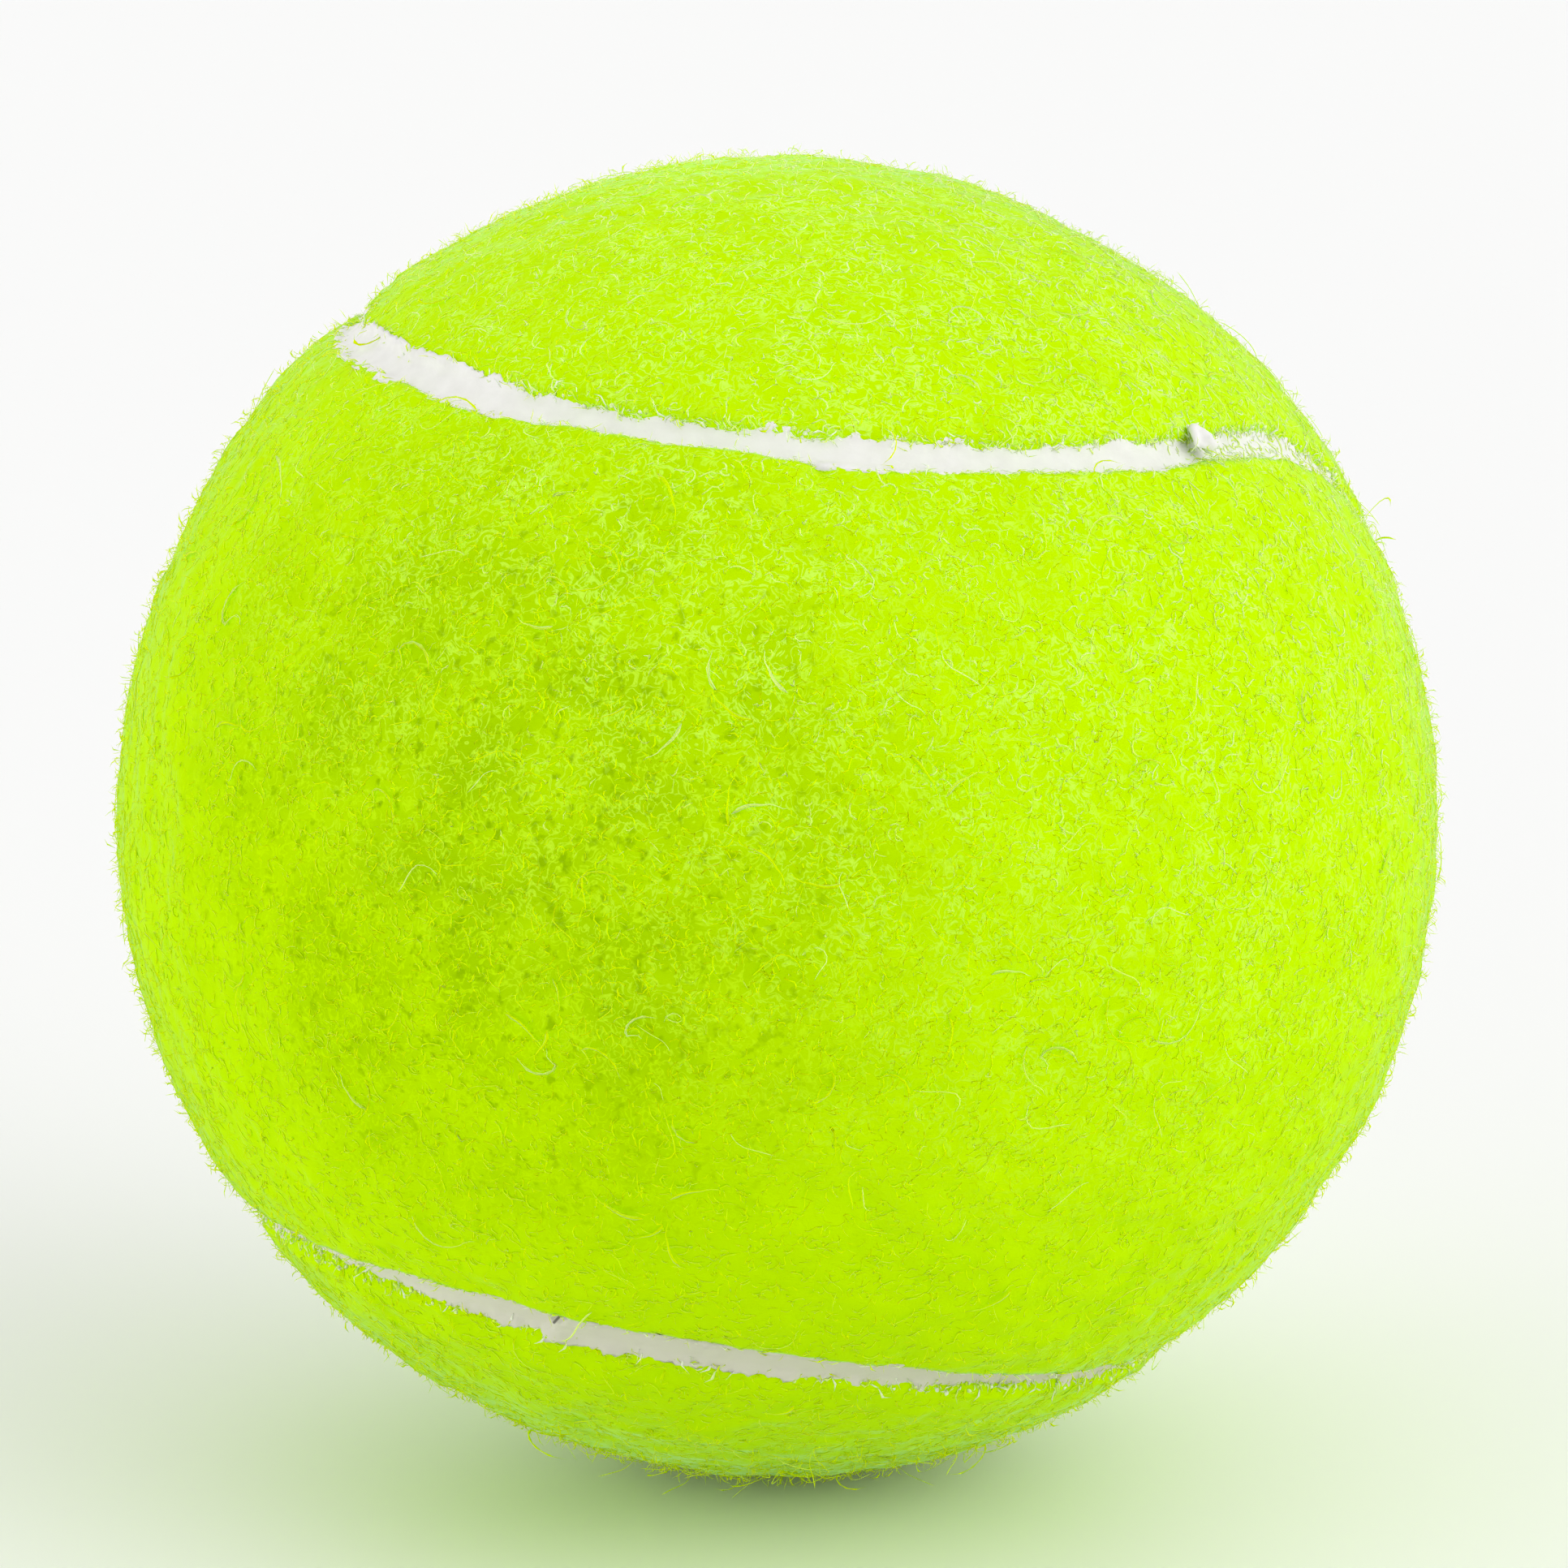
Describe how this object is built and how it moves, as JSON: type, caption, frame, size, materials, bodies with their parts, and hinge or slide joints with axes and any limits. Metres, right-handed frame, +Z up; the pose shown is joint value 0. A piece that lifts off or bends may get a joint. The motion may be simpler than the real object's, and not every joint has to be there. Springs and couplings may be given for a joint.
{
  "type": "tennis ball",
  "caption": "Hollow rubber ball covered with interlocking dog-bone panels of yellow-green felt, with white rubber in the recessed seam between them; it bounces and is struck in play.",
  "frame": {"origin": "centre of the ball", "axes": "+Z up as the ball lies on a table; -Y faces the picture's viewer, +X is to the viewer's right"},
  "size_m": [0.067, 0.067, 0.067],
  "materials": {
    "core_rubber": "moulded natural rubber, ground matt outside",
    "bond_rubber": "vulcanised rubber solution",
    "cement": "dried rubber cement",
    "felt": "napped wool and nylon felt, optic yellow-green",
    "seam_rubber": "white vulcanised rubber, matt"
  },
  "bodies": {
    "root": {"core_half_upper": "core_rubber", "core_half_lower": "core_rubber", "core_bond_ring": "bond_rubber", "cement_coat_front": "cement", "cement_coat_back": "cement", "felt_panel_front": "felt", "felt_panel_back": "felt", "seam_rubber": "seam_rubber"}
  },
  "joints": []
}
